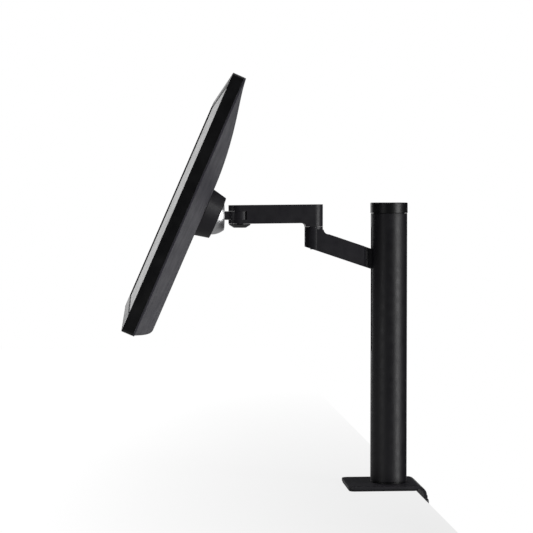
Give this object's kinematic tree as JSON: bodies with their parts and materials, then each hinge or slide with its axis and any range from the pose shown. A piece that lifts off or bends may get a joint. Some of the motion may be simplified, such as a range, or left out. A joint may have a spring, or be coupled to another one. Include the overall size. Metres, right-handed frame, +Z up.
{
  "type": "monitor arm",
  "caption": "Desk-clamp monitor arm: slotted round column with a height slide, folding two-link arm, ball-domed tilt head and a flat display.",
  "frame": {"origin": "on the desk surface, where the column's axis meets the underside of the desk pad", "axes": "+Z up along the column; the screen faces -Y; +X to the right of someone facing +Y"},
  "size_m": [0.6136, 0.4496, 0.7435],
  "materials": {
    "plate_paint": "fine-textured black powder coat",
    "column_paint": "satin black powder coat",
    "arm_paint": "satin black powder coat",
    "trim_plastic": "fine moulded grain, black",
    "cover_plastic": "fine moulded grain, dark violet grey",
    "silver_metal": "brushed and clear coated silver",
    "black_steel": "black oxide",
    "zinc_steel": "bright zinc plate",
    "chassis_metal": "pressed sheet",
    "spring_steel": "polished strip",
    "nylon": "natural nylon",
    "rubber": "matt black",
    "screen": "anti-glare screen film",
    "board": "solder resist"
  },
  "bodies": {
    "base": {"desk_pad": "rubber", "base_plate": "plate_paint", "clamp_bracket": "plate_paint", "bracket_screw_1": "black_steel", "bracket_screw_2": "black_steel", "clamp_nut": "zinc_steel", "swivel_post": "zinc_steel", "post_bolt": "zinc_steel", "swivel_washer": "trim_plastic", "retainer_bolt": "black_steel"},
    "clamp_pad": {"pressure_pad": "rubber", "pressure_disc": "black_steel"},
    "clamp_screw": {"clamp_spindle": "zinc_steel", "clamp_knob": "trim_plastic"},
    "column": {"column_tube": "column_paint", "swivel_bush": "nylon", "column_foot": "black_steel", "slot_liner": "trim_plastic", "column_cap": "trim_plastic", "spring_anchor": "zinc_steel", "spring_strip": "spring_steel"},
    "carriage": {"carriage_block": "black_steel", "glide_upper": "nylon", "glide_lower": "nylon", "drum_axle": "zinc_steel", "arm_pin_1": "zinc_steel", "arm_pin_2": "zinc_steel", "lower_arm": "arm_paint", "elbow_pin": "zinc_steel", "elbow_set_screw": "black_steel"},
    "drum": {"spring_drum": "spring_steel"},
    "upper_link": {"upper_arm": "arm_paint", "elbow_bush": "nylon", "wrist_bolt": "black_steel", "wrist_nut_cover": "trim_plastic"},
    "wrist": {"wrist_knuckle": "arm_paint", "wrist_bush": "nylon", "wrist_side_screw": "black_steel", "joint_dome": "silver_metal"},
    "head": {"tilt_bracket": "black_steel", "tilt_axle": "zinc_steel", "tilt_nut": "zinc_steel", "head_cover": "arm_paint", "head_base": "black_steel", "pivot_shaft": "zinc_steel", "pivot_washer": "nylon", "pivot_nut": "zinc_steel"},
    "display": {"rear_cover": "cover_plastic", "front_frame": "trim_plastic", "bottom_bezel": "trim_plastic", "lcd_panel": "screen", "panel_chassis": "chassis_metal", "mount_receiver": "zinc_steel", "mount_plate": "zinc_steel", "main_board": "board", "port_panel": "trim_plastic"},
    "release": {"release_button": "trim_plastic"},
    "rocker": {"menu_rocker": "trim_plastic"},
    "power": {"power_button": "trim_plastic"}
  },
  "joints": [
    {"name": "clamp_pad_slide", "type": "slide", "parent": "base", "child": "clamp_pad", "axis": [0, 0, 1], "range_m": [-0.0299, 0.0139]},
    {"name": "clamp_screw_turn", "type": "hinge", "parent": "clamp_pad", "child": "clamp_screw", "pos_m": [0, 0, -0.04], "axis": [0, 0, 1], "range_deg": [-6160, 2870]},
    {"name": "column_swivel", "type": "hinge", "parent": "base", "child": "column", "pos_m": [0, 0, 0.0095], "axis": [0, 0, 1], "range_deg": [-140, 140]},
    {"name": "height_slide", "type": "slide", "parent": "column", "child": "carriage", "axis": [0, 0, 1], "range_m": [-0.105, 0.025], "deforming": ["spring_strip"]},
    {"name": "drum_spin", "type": "hinge", "parent": "carriage", "child": "drum", "pos_m": [0, 0.0112, 0.32], "axis": [1, 0, 0], "range_deg": [-660, 160]},
    {"name": "elbow_hinge", "type": "hinge", "parent": "carriage", "child": "upper_link", "pos_m": [0, -0.112, 0.3861], "axis": [0, 0, 1], "range_deg": [-120, 120]},
    {"name": "wrist_swivel", "type": "hinge", "parent": "upper_link", "child": "wrist", "pos_m": [0, -0.2214, 0.4024], "axis": [0, 0, -1], "range_deg": [-90, 90]},
    {"name": "head_tilt", "type": "hinge", "parent": "wrist", "child": "head", "pos_m": [0, -0.2628, 0.4024], "axis": [1, 0, 0], "range_deg": [-6.5, 43.5]},
    {"name": "display_pivot", "type": "hinge", "parent": "head", "child": "display", "pos_m": [0, -0.2628, 0.4024], "axis": [0, 0.9171, -0.3987], "range_deg": [-90, 90]},
    {"name": "release_press", "type": "slide", "parent": "display", "child": "release", "axis": [0, -0.9171, 0.3987], "range_m": [0, 0.002], "stiffness_N_per_m": 500, "springref_m": -0.002},
    {"name": "rocker_tilt", "type": "hinge", "parent": "display", "child": "rocker", "pos_m": [0.232, -0.3834, 0.2542], "axis": [0, 0.9171, -0.3987], "range_deg": [-2.5, 2.5], "stiffness_Nm_per_rad": 0.05},
    {"name": "power_press", "type": "slide", "parent": "display", "child": "power", "axis": [0, 0.3987, 0.9171], "range_m": [0, 0.0008], "stiffness_N_per_m": 600, "springref_m": -0.001}
  ],
  "couplings": [
    {"joint": "clamp_screw_turn", "follows": "clamp_pad_slide", "rad_per_m": 3590.4},
    {"joint": "drum_spin", "follows": "height_slide", "rad_per_m": 107.53}
  ]
}
